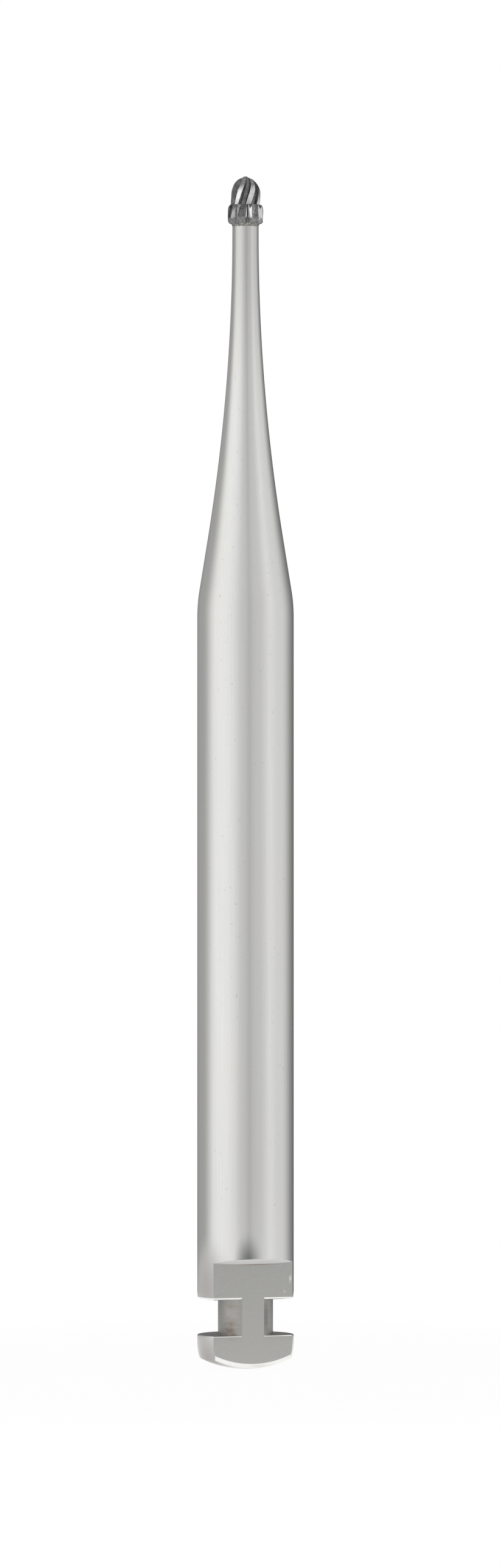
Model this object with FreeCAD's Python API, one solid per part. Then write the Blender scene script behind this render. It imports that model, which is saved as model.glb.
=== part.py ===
import FreeCAD, Part
import math
import os

# Carbide burr for a right-angle handpiece, in millimetres.
# The burr stands along +Z with the middle of its domed latch end at the origin and the
# cutting head at the top. The drive flat faces -Y.
# It is three pieces: the turned and milled steel shank, the ground carbide head, and the
# thin layer of silver braze that holds the head on the end of the neck.
# Azimuths are degrees from the flat's normal, -Y, towards +X. The sizes and sections of
# the head are measured from the head's own base.

# Whole burr
overall_length = 29.0
shank_diameter = 2.35

# Latch end: a button under a turned groove, and the drive flat across both
end_dome_radius = 2.45
end_face_diameter = 2.23
end_edge_fillet = 0.1
button_side_height = 0.64
button_height = 0.84
button_top_fillet = 0.025
groove_width = 0.87
groove_core_diameter = 1.34
shoulder_ease_inset = 0.02
shoulder_ease_height = 0.22
shoulder_fillet = 0.055
flat_to_axis = 0.61
flat_length = 2.57
flat_runout_angle = 16.0
flat_runout_radius = 12.0

# Long neck: a convex arc, a straight cone, a long concave arc and a nearly parallel end
neck_shoulder_radius = 4.0
cone_half_angle = 9.2
neck_arc_radius = 46.5
neck_end_half_angle = 0.2
neck_end_length = 0.35
neck_end_diameter = 0.638
neck_end_chamfer = 0.035

# Braze: a thin layer that wets the neck's chamfer and the head's base
braze_thickness = 0.03
braze_hollow = 0.008

# Carbide head: a crown of short teeth below, a dome of helical blades above
head_length = 1.16
head_base_diameter = 0.70
tooth_count = 7
crown_height = 0.465
crown_diameter = 0.87
crown_foot_height = 0.09
crown_belly_height = 0.29
crown_top_diameter = 0.74
gash_root_diameter = 0.69
gash_root_width = 0.03
gash_half_angle = 43.0
gash_lag_angle = 12.0
panel_top_angle = 38.0
panel_foot_angle = 28.0
panel_top_lead_angle = 15.0
panel_foot_lead_angle = 24.0
panel_top_diameter = 0.72
panel_foot_diameter = 0.90
panel_sections = 4
dome_diameter = 0.73
dome_straight_height = 0.72
tip_cap_diameter = 0.21
tip_nub_diameter = 0.15
tip_nub_height = 0.04
helix_twist_per_mm = 54.0
first_edge_azimuth = -47.5
land_angle = 20.0
land_heel_ratio = 0.95
rake_face_angle = 9.0
heel_face_angle = 4.5
gullet_ratio = 0.79
straight_sections = 3
curved_sections = 10

# Values worked out from the sizes above
shank_radius = shank_diameter / 2
groove_core_radius = groove_core_diameter / 2
groove_top = button_height + groove_width
neck_end_radius = neck_end_diameter / 2
head_base_height = overall_length - head_length
neck_top = head_base_height - braze_thickness
head_base_radius = head_base_diameter / 2
crown_radius = crown_diameter / 2
dome_radius = dome_diameter / 2
tip_cap_height = head_length - tip_nub_height
tooth_pitch = 360.0 / tooth_count

origin = FreeCAD.Vector(0, 0, 0)
up = FreeCAD.Vector(0, 0, 1)
tolerance = 1e-4


def point(radius, height):
    """A point of a half profile, which lies on the +Y side and is revolved about Z."""
    return FreeCAD.Vector(0, radius, height)


def around(radius, azimuth, height):
    """A point at a radius, an azimuth from -Y towards +X, and a height."""
    angle = math.radians(azimuth)
    return FreeCAD.Vector(radius * math.sin(angle), -radius * math.cos(angle), height)


def line(start, end):
    return Part.LineSegment(start, end).toShape()


def path(points):
    """Straight edges from each point to the next."""
    return [line(start, end) for start, end in zip(points, points[1:])]


def arc_about(centre, radius, from_angle, to_angle):
    """An arc of a half profile, with its angles in degrees above the outward direction."""
    spots = []
    for degrees in (from_angle, (from_angle + to_angle) / 2, to_angle):
        angle = math.radians(degrees)
        spots.append(centre + point(radius * math.cos(angle), radius * math.sin(angle)))
    return Part.Arc(*spots).toShape()


def easing_arc(wall_radius, inset, low, high):
    """The arc that leaves a wall smoothly at the high end and ends inset at the low end."""
    rise = high - low
    radius = (inset**2 + rise**2) / (2 * inset)
    turn = math.degrees(math.asin(rise / radius))
    return arc_about(point(wall_radius - radius, high), radius, -turn, 0)


def turned(edges):
    """The solid that a closed half profile sweeps about Z."""
    return Part.Face(Part.Wire(edges)).revolve(origin, up, 360)


def middle(edge):
    return edge.valueAt((edge.FirstParameter + edge.LastParameter) / 2)


def edges_at(solid, height, least_radius=0.0):
    """The level edges at a height, whose middles lie farther out than a radius."""
    found = []
    for edge in solid.Edges:
        if not edge.Degenerated:
            spot = middle(edge)
            level = edge.BoundBox.ZLength < tolerance and abs(spot.z - height) < tolerance
            if level and math.hypot(spot.x, spot.y) > least_radius:
                found.append(edge)
    return found


def flat_edges_below(solid, height):
    """The edges of the drive flat whose middles are lower than a height."""
    found = []
    for edge in solid.Edges:
        if not edge.Degenerated:
            box = edge.BoundBox
            on_flat = max(abs(box.YMin + flat_to_axis), abs(box.YMax + flat_to_axis)) < tolerance
            if on_flat and middle(edge).z < height:
                found.append(edge)
    return found


def dome_rise(radius):
    """Height of the domed end's surface at a radius."""
    return end_dome_radius - math.sqrt(end_dome_radius**2 - radius**2)


def latch_profile():
    """Edges from the lowest point of the dome to the parallel shank above the groove."""
    end_face_radius = end_face_diameter / 2
    end_face_height = dome_rise(end_face_radius)
    halfway = point(end_face_radius / 2, dome_rise(end_face_radius / 2))
    dome = Part.Arc(origin, halfway, point(end_face_radius, end_face_height)).toShape()
    side_inset = shank_radius - end_face_radius
    button_side = easing_arc(shank_radius, side_inset, end_face_height, button_side_height)
    groove = path([
        point(shank_radius, button_side_height),
        point(shank_radius, button_height),
        point(groove_core_radius, button_height),
        point(groove_core_radius, groove_top),
        point(shank_radius - shoulder_ease_inset, groove_top),
    ])
    eased_top = groove_top + shoulder_ease_height
    shoulder_side = easing_arc(shank_radius, shoulder_ease_inset, groove_top, eased_top)
    return [dome, button_side] + groove + [shoulder_side]


def neck_profile():
    """Edges from the top of the parallel shank to the middle of the neck's end, all tangent."""
    end_slope = math.radians(neck_end_half_angle)
    cone_slope = math.radians(cone_half_angle)
    end_normal = point(math.cos(end_slope), math.sin(end_slope))
    cone_normal = point(math.cos(cone_slope), math.sin(cone_slope))
    end_foot_radius = neck_end_radius + neck_end_length * math.tan(end_slope)
    end_foot = point(end_foot_radius, neck_top - neck_end_length)
    arc_centre = end_foot + end_normal * neck_arc_radius
    cone_top = arc_centre - cone_normal * neck_arc_radius
    cone_foot_radius = shank_radius - neck_shoulder_radius * (1 - math.cos(cone_slope))
    cone_length = (cone_foot_radius - cone_top.y) / math.tan(cone_slope)
    cone_foot = point(cone_foot_radius, cone_top.z - cone_length)
    shoulder_centre = cone_foot - cone_normal * neck_shoulder_radius
    edges = [
        arc_about(shoulder_centre, neck_shoulder_radius, 0, cone_half_angle),
        line(cone_foot, cone_top),
        arc_about(arc_centre, neck_arc_radius, 180 + cone_half_angle, 180 + neck_end_half_angle),
    ]
    edges += path([
        end_foot,
        point(neck_end_radius, neck_top - neck_end_chamfer),
        point(neck_end_radius - neck_end_chamfer, neck_top),
        point(0, neck_top),
        origin,
    ])
    return point(shank_radius, shoulder_centre.z), edges


def flat_cutter():
    """What milling takes off for the drive flat, with the sloped shoulder that it leaves."""
    reach = 2 * shank_diameter
    corner = FreeCAD.Vector(-reach / 2, -flat_to_axis - reach, flat_length - reach)
    slab = Part.makeBox(reach, reach, 2 * reach, corner)
    tilt = math.radians(flat_runout_angle)
    outward = FreeCAD.Vector(0, -math.cos(tilt), math.sin(tilt))
    above = FreeCAD.Vector(0, math.sin(tilt), math.cos(tilt))
    flat_top = FreeCAD.Vector(0, -flat_to_axis, flat_length)
    centre = flat_top + above * flat_runout_radius
    left_standing = Part.makeCylinder(flat_runout_radius, 2 * reach, centre - outward * reach, outward)
    left_standing.rotate(centre, outward, 90)
    return slab.cut(left_standing)


def shank():
    """The shank, turned with its neck, then milled, then tumbled to round its edges."""
    neck_foot, neck_edges = neck_profile()
    parallel = line(point(shank_radius, groove_top + shoulder_ease_height), neck_foot)
    piece = turned(latch_profile() + [parallel] + neck_edges).cut(flat_cutter())
    outside_core = groove_core_radius + tolerance
    piece = piece.makeFillet(shoulder_fillet, edges_at(piece, groove_top, outside_core))
    end_face_height = dome_rise(end_face_diameter / 2)
    end_edges = edges_at(piece, end_face_height)
    end_edges += flat_edges_below(piece, (dome_rise(flat_to_axis) + end_face_height) / 2)
    piece = piece.makeFillet(end_edge_fillet, end_edges)
    return piece.makeFillet(button_top_fillet, edges_at(piece, button_height, outside_core))


def braze_joint():
    """The braze between neck and head, with the small meniscus that shows around it."""
    foot = point(neck_end_radius, neck_top - neck_end_chamfer)
    rim = point(head_base_radius, head_base_height)
    waist = (foot + rim) * 0.5 + point(-braze_hollow, 0)
    face_edge = point(neck_end_radius - neck_end_chamfer, neck_top)
    edges = path([rim, point(0, head_base_height), point(0, neck_top), face_edge, foot])
    edges.append(Part.Arc(foot, waist, rim).toShape())
    return turned(edges)


def rounding(start, end, bulge_radius, bulge_height):
    """A quarter-round arc between two points, bulging towards a corner."""
    share = math.sqrt(0.5)
    corner = point(bulge_radius, bulge_height)
    opposite = start + end - corner
    return Part.Arc(start, opposite + (corner - opposite) * share, end).toShape()


def crown_blank():
    """The crown before its gashes: a rounded foot, a full belly and a rounded top."""
    base = point(head_base_radius, 0)
    top = point(crown_top_diameter / 2, crown_height)
    edges = path([top, point(0, crown_height), origin, base])
    edges.append(rounding(base, point(crown_radius, crown_foot_height), crown_radius, 0))
    edges.append(line(point(crown_radius, crown_foot_height), point(crown_radius, crown_belly_height)))
    edges.append(rounding(point(crown_radius, crown_belly_height), top, crown_radius, crown_height))
    return turned(edges)


def crown_gash(azimuth):
    """One V-shaped cut with a narrow flat root, which runs straight down the side of the crown."""
    root_radius = gash_root_diameter / 2
    root_half_width = gash_root_width / 2
    depth = crown_diameter
    half_width = root_half_width + depth * math.tan(math.radians(gash_half_angle))
    corners = [
        FreeCAD.Vector(-root_half_width, -root_radius, -crown_height),
        FreeCAD.Vector(root_half_width, -root_radius, -crown_height),
        FreeCAD.Vector(half_width, -root_radius - depth, -crown_height),
        FreeCAD.Vector(-half_width, -root_radius - depth, -crown_height),
    ]
    gash = Part.Face(Part.makePolygon(corners + corners[:1])).extrude(up * (3 * crown_height))
    gash.rotate(origin, up, azimuth)
    return gash


def edge_azimuth(height):
    """Azimuth of the first blade's cutting edge at a height."""
    return first_edge_azimuth + helix_twist_per_mm * (height - crown_height)


def up_the_crown(foot_value, top_value, share):
    """A value that changes evenly from the crown's foot to its top."""
    return foot_value + (top_value - foot_value) * share


def crown_panel(tooth):
    """One flute's run-out down the crown: a slanting flat, narrower and shallower at the foot."""
    sections = []
    for step in range(panel_sections + 2):
        share = step / panel_sections
        height = share * crown_height
        radius = up_the_crown(panel_foot_diameter, panel_top_diameter, share) / 2
        lead_angle = up_the_crown(panel_foot_lead_angle, panel_top_lead_angle, share)
        start = edge_azimuth(height) + lead_angle + tooth * tooth_pitch
        end = start + up_the_crown(panel_foot_angle, panel_top_angle, share)
        corners = [
            around(radius, start, height),
            around(radius, end, height),
            around(crown_diameter, end, height),
            around(crown_diameter, start, height),
        ]
        sections.append(Part.makePolygon(corners + corners[:1]))
    return Part.makeLoft(sections, True, False)


def flute_section(height, radius):
    """The dome's outline at one height: each tooth has a land, a rake face, a gullet and a heel."""
    turn = edge_azimuth(height)
    gullet_radius = radius * gullet_ratio
    corners = []
    for tooth in range(tooth_count):
        edge = turn + tooth * tooth_pitch
        corners.append(around(radius * land_heel_ratio, edge - land_angle, height))
        corners.append(around(radius, edge, height))
        corners.append(around(gullet_radius, edge + rake_face_angle, height))
        corners.append(around(gullet_radius, edge + tooth_pitch - land_angle - heel_face_angle, height))
    return Part.makePolygon(corners + corners[:1])


def fluted_dome():
    """The dome with its right-hand blades, lofted through sections that turn as they rise."""
    cap_angle = math.acos(tip_cap_diameter / dome_diameter)
    semi_height = (tip_cap_height - dome_straight_height) / math.sin(cap_angle)
    sections = []
    for step in range(straight_sections):
        height = crown_height + (dome_straight_height - crown_height) * step / straight_sections
        sections.append(flute_section(height, dome_radius))
    for step in range(curved_sections + 1):
        angle = cap_angle * step / curved_sections
        height = dome_straight_height + semi_height * math.sin(angle)
        sections.append(flute_section(height, dome_radius * math.cos(angle)))
    return Part.makeLoft(sections, True, False)


def tip_nub():
    """The small pip in the middle of the tip, where the blades run out."""
    radius = tip_nub_diameter / 2
    sphere_radius = (radius**2 + tip_nub_height**2) / (2 * tip_nub_height)
    half_angle = math.degrees(math.asin(radius / sphere_radius))
    cap = arc_about(point(0, head_length - sphere_radius), sphere_radius, 90 - half_angle, 90)
    root = tip_cap_height - tip_nub_height
    foot = point(radius, tip_cap_height)
    edges = path([point(0, head_length), point(0, root), point(radius, root), foot])
    return turned(edges + [cap])


def cutting_head():
    """The crown and the dome, ground from one piece of carbide."""
    cutters = []
    for tooth in range(tooth_count):
        cutters.append(crown_gash(first_edge_azimuth - gash_lag_angle + tooth * tooth_pitch))
        cutters.append(crown_panel(tooth))
    crown = crown_blank().cut(cutters)
    head = crown.fuse([fluted_dome(), tip_nub()]).removeSplitter()
    head.translate(up * head_base_height)
    return head


def export(name, shape):
    """Writes one piece, and prints what it measures."""
    solids = shape.Solids
    if len(solids) == 1:
        shape = solids[0]
    shape.exportStep(os.path.join("parts", name + ".step"))
    size = shape.optimalBoundingBox()
    print(
        f"{name}: {len(solids)} solid, valid {shape.isValid()}, {len(shape.Faces)} faces,"
        f" {shape.Volume:.5f} mm3, {size.XLength:.3f} x {size.YLength:.3f} mm,"
        f" z {size.ZMin:.3f} to {size.ZMax:.3f}"
    )


def main():
    os.makedirs("parts", exist_ok=True)
    export("shank", shank())
    export("braze_joint", braze_joint())
    export("cutting_head", cutting_head())


main()
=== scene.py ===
"""Looks of the carbide burr: its shank, braze and cutting head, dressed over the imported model.

Sizes are in millimetres, and azimuths in degrees from the drive flat's normal, -Y, towards +X.
"""

import logging
import math
from collections.abc import Callable, Sequence
from dataclasses import dataclass
from enum import Enum
from types import SimpleNamespace

import bmesh
import bpy
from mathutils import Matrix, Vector


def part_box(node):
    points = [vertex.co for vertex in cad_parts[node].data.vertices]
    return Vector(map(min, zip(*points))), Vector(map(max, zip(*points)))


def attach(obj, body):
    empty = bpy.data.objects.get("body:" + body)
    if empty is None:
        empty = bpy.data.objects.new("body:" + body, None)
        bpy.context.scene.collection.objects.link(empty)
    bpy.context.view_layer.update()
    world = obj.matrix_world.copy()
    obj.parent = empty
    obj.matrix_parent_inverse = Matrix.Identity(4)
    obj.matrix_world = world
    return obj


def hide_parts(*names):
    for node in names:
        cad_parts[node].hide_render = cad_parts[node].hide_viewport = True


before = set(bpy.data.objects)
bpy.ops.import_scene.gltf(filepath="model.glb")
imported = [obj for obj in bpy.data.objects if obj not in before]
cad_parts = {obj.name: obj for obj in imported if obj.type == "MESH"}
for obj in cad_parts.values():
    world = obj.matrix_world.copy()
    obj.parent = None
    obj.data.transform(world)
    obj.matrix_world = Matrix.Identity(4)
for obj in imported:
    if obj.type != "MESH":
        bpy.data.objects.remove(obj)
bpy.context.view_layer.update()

log = logging.getLogger("carbide_burr")

MM = 0.001
WELD = 1e-5
SHARP_EDGE = math.radians(20.0)

Point = tuple[float, float, float]
Spot = tuple[float, float]
Colour = tuple[float, float, float, float]
Height = Callable[[float, float], float]
Socket = bpy.types.NodeSocket


def arithmetic(operation: str, turned: bool = False) -> Callable[["Number", "Value"], "Number"]:
    """An operator of Number that adds a node to the tree.

    Args:
        operation: Blender's name for the step.
        turned: Whether the number stands to the right of the operator.

    Returns:
        The operator.
    """

    def operator(self: "Number", other: "Value") -> "Number":
        """Works the step out in the number's own tree."""
        return self.graph.math(operation, *((other, self) if turned else (self, other)))

    return operator


class Number:
    """A number that a node tree works out. Operators on it add nodes to the tree."""

    __add__, __radd__ = arithmetic("ADD"), arithmetic("ADD", turned=True)
    __sub__, __rsub__ = arithmetic("SUBTRACT"), arithmetic("SUBTRACT", turned=True)
    __truediv__, __rtruediv__ = arithmetic("DIVIDE"), arithmetic("DIVIDE", turned=True)
    __mul__, __mod__ = arithmetic("MULTIPLY"), arithmetic("MODULO")

    def __init__(self, graph: "Graph", socket: Socket) -> None:
        """Takes one of the graph's sockets."""
        self.graph = graph
        self.socket = socket

    def __neg__(self) -> "Number":
        """The number with its sign changed."""
        return self * -1.0


Value = float | int | Sequence[float] | Socket | Number | bpy.types.Material
Placer = Callable[[Number, Number], tuple[Value, Value, Value]]


def shares(count: int) -> list[float]:
    """Evenly spaced values from 0 to 1.

    Args:
        count: How many steps lie between the first value and the last.

    Returns:
        count + 1 values.
    """
    return [step / count for step in range(count + 1)]


def between(start: float | Number, end: float | Number, share: float | Number) -> float | Number:
    """The value at a share of the way from start to end."""
    return start + (end - start) * share


def on_circle(radius: float, azimuth: float) -> Spot:
    """The place at a radius and an azimuth in degrees."""
    angle = math.radians(azimuth)
    return radius * math.sin(angle), -radius * math.cos(angle)


def azimuth_of(spot: Sequence[float]) -> float:
    """Azimuth of a place in degrees, from 0 to 360."""
    return math.degrees(math.atan2(spot[0], -spot[1])) % 360.0


def level(height: float) -> Height:
    """The rule of a level row, whose points all have one height."""
    return lambda across, along: height


def leg(slant: float, other: float) -> float:
    """The second leg of a right triangle, or 0 where the first is as long as the slant side."""
    return math.sqrt(max(slant**2 - other**2, 0.0))


def arc(centre: Spot, radius: float, start: float, end: float, steps: int) -> list[Spot]:
    """Places along an arc between two angles in radians. A radius below zero turns it to the far side."""
    angles = [between(start, end, share) for share in shares(steps)]
    return [(centre[0] + radius * math.cos(angle), centre[1] + radius * math.sin(angle)) for angle in angles]


def circles_meet(first: Spot, first_radius: float, second: Spot, second_radius: float) -> Spot:
    """The crossing of two circles that lies farther from the axis.

    Args:
        first: Centre of the first circle, as a radius and a height.
        first_radius: Radius of the first circle.
        second: Centre of the second circle.
        second_radius: Radius of the second circle.

    Returns:
        The crossing, as a radius and a height.
    """
    span = math.dist(first, second)
    along = (first_radius**2 - second_radius**2 + span**2) / (2 * span)
    aside = leg(first_radius, along)
    step = ((second[0] - first[0]) / span, (second[1] - first[1]) / span)
    foot = (first[0] + along * step[0], first[1] + along * step[1])
    crossings = [
        (foot[0] - aside * step[1], foot[1] + aside * step[0]),
        (foot[0] + aside * step[1], foot[1] - aside * step[0]),
    ]
    return max(crossings)


def grey(tone: float) -> Colour:
    """The colour of a neutral tone."""
    return tone, tone, tone, 1.0


def tinted(colour: Colour, tint: Colour) -> Colour:
    """A colour seen through a tint."""
    return tuple(part * share for part, share in zip(colour, tint))


class Graph:
    """Adds nodes to a tree and wires them, so that a rule can be written as code."""

    def __init__(self, tree: bpy.types.NodeTree) -> None:
        """Starts from an empty tree."""
        self.tree = tree
        tree.nodes.clear()

    def node(self, kind: str, inputs: dict | None = None, **settings: object) -> bpy.types.Node:
        """Adds one node.

        Args:
            kind: Blender's name for the node.
            inputs: Values or sockets for the node's inputs, by name or index.
            **settings: The node's own options.

        Returns:
            The new node.
        """
        made = self.tree.nodes.new(kind)
        for name, value in settings.items():
            setattr(made, name, value)
        for key, value in (inputs or {}).items():
            self.feed(made.inputs[key], value)
        return made

    def feed(self, socket: Socket, value: Value) -> None:
        """Links a socket to an output, or sets its value."""
        value = value.socket if isinstance(value, Number) else value
        if isinstance(value, bpy.types.NodeSocket):
            self.tree.links.new(value, socket)
        else:
            socket.default_value = value

    def output(self, kind: str, inputs: dict | None = None, **settings: object) -> Socket:
        """Adds one node and gives its first output."""
        return self.node(kind, inputs, **settings).outputs[0]

    def math(self, operation: str, *values: Value) -> Number:
        """One step of arithmetic on numbers."""
        return Number(self, self.output("ShaderNodeMath", dict(enumerate(values)), operation=operation))

    def vector(self, operation: str, *values: Value) -> Socket:
        """One step of arithmetic on vectors."""
        made = self.node("ShaderNodeVectorMath", dict(enumerate(values)), operation=operation)
        return made.outputs["Value" if operation == "LENGTH" else "Vector"]

    def part(self, vector: Value, axis: str) -> Number:
        """A vector's X, Y or Z."""
        return Number(self, self.node("ShaderNodeSeparateXYZ", {0: vector}).outputs[axis])

    def joined(self, **parts: Value) -> Socket:
        """A vector made of its X, Y and Z, which are 0 where they aren't given."""
        return self.output("ShaderNodeCombineXYZ", parts)

    def ramp(self, value: Value, low: float, high: float, start: float = 0.0, end: float = 1.0) -> Number:
        """A smooth step from start, where the value is low, to end, where it is high."""
        settings = {"Value": value, "From Min": low, "From Max": high, "To Min": start, "To Max": end}
        return Number(self, self.output("ShaderNodeMapRange", settings, interpolation_type="SMOOTHSTEP"))

    def mix(self, share: Value, first: Value, second: Value) -> Socket:
        """A colour between two colours."""
        made = self.node("ShaderNodeMix", {0: share, 6: first, 7: second}, data_type="RGBA")
        return made.outputs[2]


class Pattern(Graph):
    """A material's tree, with its patterns laid out in millimetres on the piece itself.

    A noise has values about 0.5. The spans say which of them a ramp takes from nothing to full.
    """

    BROAD = (0.1, 0.75)
    WIDE = (0.2, 0.8)
    LOW = (0.2, 0.55)
    MOST = (0.3, 0.7)
    MIDDLE = (0.34, 0.66)
    HIGH = (0.4, 0.7)
    PEAKS = (0.7, 0.82)
    SHARP_PEAKS = (0.72, 0.78)

    def __init__(self, name: str) -> None:
        """Makes the material and finds each point's place in millimetres."""
        self.material = bpy.data.materials.new(name)
        self.material.use_nodes = True
        super().__init__(self.material.node_tree)
        coordinates = self.node("ShaderNodeTexCoord").outputs["Object"]
        self.place = self.vector("MULTIPLY", coordinates, (1 / MM,) * 3)

    def noise(self, per_mm: Point, detail: float = 2.0, shift: float = 0.0) -> Number:
        """Random marks.

        Args:
            per_mm: Marks for each millimetre along X, Y and Z.
            detail: How many finer layers they have.
            shift: Moves the pattern, so that two of them differ.

        Returns:
            A value of about 0.5, from 0 to 1.
        """
        scaled = self.vector("MULTIPLY_ADD", self.place, per_mm, (shift,) * 3)
        inputs = {"Vector": scaled, "Scale": 1.0, "Detail": detail}
        return Number(self, self.output("ShaderNodeTexNoise", inputs))

    def patch(self, centre: Point, reach: Point) -> Number:
        """A soft patch that is 1 at its centre and 0 beyond its reach."""
        away = self.vector("DIVIDE", self.vector("SUBTRACT", self.place, centre), reach)
        return self.ramp(self.vector("LENGTH", away), 1.0, 0.0)

    def surface(self, inputs: dict, bump: Value, depth: float) -> bpy.types.Material:
        """Ends the tree in a metal.

        Args:
            inputs: The shader's inputs by name.
            bump: Height of the surface's marks, from 0 to 1.
            depth: Millimetres between the marks' lowest and highest.

        Returns:
            The finished material.
        """
        relief = self.output("ShaderNodeBump", {"Height": bump, "Strength": 1.0, "Distance": depth * MM})
        shader = self.output("ShaderNodeBsdfPrincipled", {"Metallic": 1.0, "Normal": relief} | inputs)
        self.node("ShaderNodeOutputMaterial", {"Surface": shader})
        return self.material


@dataclass(frozen=True)
class StainOrPaintedLight:
    """A discoloured patch on a metal, or a patch of painted shade or painted highlight.

    Attributes:
        centre: Where it is strongest.
        reach: How far it spreads along X, Y and Z.
        colour: The colour that it gives the metal.
        strength: Its cover at the centre, from 0 to 1.
        dullness: Roughness that it adds.
        ragged: Whether its cover is broken up.
        scatter: Share of the light that it scatters instead of returning it as bare metal does.
    """

    centre: Point
    reach: Point
    colour: Colour
    strength: float
    dullness: float = 0.1
    ragged: bool = True
    scatter: float = 0.0


class SteelFace(Enum):
    """How a face of the shank was made, which says how its marks run."""

    GROUND = "ground"
    TURNED = "turned"
    MILLED = "milled"
    TUMBLED = "tumbled"
    RUNOUT = "runout"


@dataclass(frozen=True)
class SteelFinish:
    """Satin stainless steel with the marks of the tool that cut it.

    Attributes:
        face: How the face was made.
        colour: The clean steel's colour.
        roughness: The clean steel's roughness.
        marks: Tool marks for each millimetre along X, Y and Z.
        mark_depth: Millimetres between the marks' lowest and highest.
        mark_tone: How much darker the marks' lowest parts are.
        stains_and_painted_shade: Discoloured patches, and patches of painted shade.
        swing: How far the marks move the roughness up and down.
        grains: Grains for each millimetre.
        grain_tint: Tint of the darkest grains.
        grain_cover: How much of that tint shows.
        clouds: Warm clouds for each millimetre along X, Y and Z.
        cloud_tint: Their tint.
        cloud_cover: How much of it shows.
        specks: Marks for each millimetre of which the strongest few are dark specks.
        speck_colour: The specks' colour.
        speck_cover: How much of it shows.
        speck_dullness: Roughness that a speck adds.
        rags: Marks for each millimetre along X, Y and Z that break up the ragged patches.
        heated_from: Height above which the brazing heat has tinted the steel.
        heated_to: Height at which the tint is full.
        heat_tint: The heat's tint.
        heat_cover: How much of it shows.
    """

    face: SteelFace
    colour: Colour
    roughness: float
    marks: Point
    mark_depth: float
    mark_tone: float
    stains_and_painted_shade: tuple[StainOrPaintedLight, ...] = ()
    swing: float = 0.02
    grains: float = 55.0
    grain_tint: Colour = grey(0.9)
    grain_cover: float = 0.5
    clouds: Point = (1.1, 1.1, 0.3)
    cloud_tint: Colour = (0.97, 0.955, 0.925, 1.0)
    cloud_cover: float = 0.7
    specks: float = 13.0
    speck_colour: Colour = (0.3, 0.29, 0.28, 1.0)
    speck_cover: float = 0.2
    speck_dullness: float = 0.15
    rags: Point = (7.0, 7.0, 10.0)
    heated_from: float = 23.0
    heated_to: float = 27.8
    heat_tint: Colour = (0.6, 0.585, 0.56, 1.0)
    heat_cover: float = 0.45

    def material(self) -> bpy.types.Material:
        """Builds the material: tool marks, grain, specks, stains, painted shade and the tint of the brazing
        heat.
        """
        pattern = Pattern(f"steel_{self.face.value}")
        marks = pattern.noise(self.marks, detail=4.0)
        grain = pattern.noise((self.grains,) * 3, detail=2.0, shift=3.0)
        cloud = pattern.noise(self.clouds, detail=4.0, shift=5.0)
        specks = pattern.ramp(pattern.noise((self.specks,) * 3, detail=1.0, shift=9.0), *pattern.SHARP_PEAKS)
        shade = tinted(self.colour, grey(1.0 - self.mark_tone))
        tone = pattern.mix(pattern.ramp(marks, *pattern.MIDDLE), shade, self.colour)
        dusky = tinted(self.colour, self.grain_tint)
        tone = pattern.mix(pattern.ramp(grain, *pattern.MOST, self.grain_cover, 0.0), tone, dusky)
        warm = tinted(self.colour, self.cloud_tint)
        tone = pattern.mix(pattern.ramp(cloud, *pattern.HIGH, 0.0, self.cloud_cover), tone, warm)
        tone = pattern.mix(specks * self.speck_cover, tone, self.speck_colour)
        rough = pattern.ramp(marks, *pattern.WIDE, self.roughness + self.swing, self.roughness - self.swing)
        rough += specks * self.speck_dullness
        ragged = pattern.ramp(pattern.noise(self.rags, detail=4.0, shift=2.0), *pattern.BROAD)
        metal: Value = 1.0
        # The patches are real stains and painted shade.
        for stain_or_shade in self.stains_and_painted_shade:
            cover = pattern.patch(stain_or_shade.centre, stain_or_shade.reach)
            if stain_or_shade.ragged:
                cover *= ragged
            tone = pattern.mix(cover * stain_or_shade.strength, tone, stain_or_shade.colour)
            rough += cover * stain_or_shade.dullness
            if stain_or_shade.scatter:
                metal -= cover * stain_or_shade.scatter
        heat = pattern.ramp(pattern.part(pattern.place, "Z"), self.heated_from, self.heated_to)
        tone = pattern.mix(heat * self.heat_cover, tone, tinted(self.colour, self.heat_tint))
        inputs = {"Base Color": tone, "Roughness": rough, "Metallic": metal}
        return pattern.surface(inputs, marks, self.mark_depth)


class CarbideFace(Enum):
    """How a face of the head was made; the crevice faces carry painted shade instead."""

    BLADE = "blade"
    FLUTE = "flute"
    SKIN = "skin"
    CREVICE_SHADE = "crevice_shade"


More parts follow.
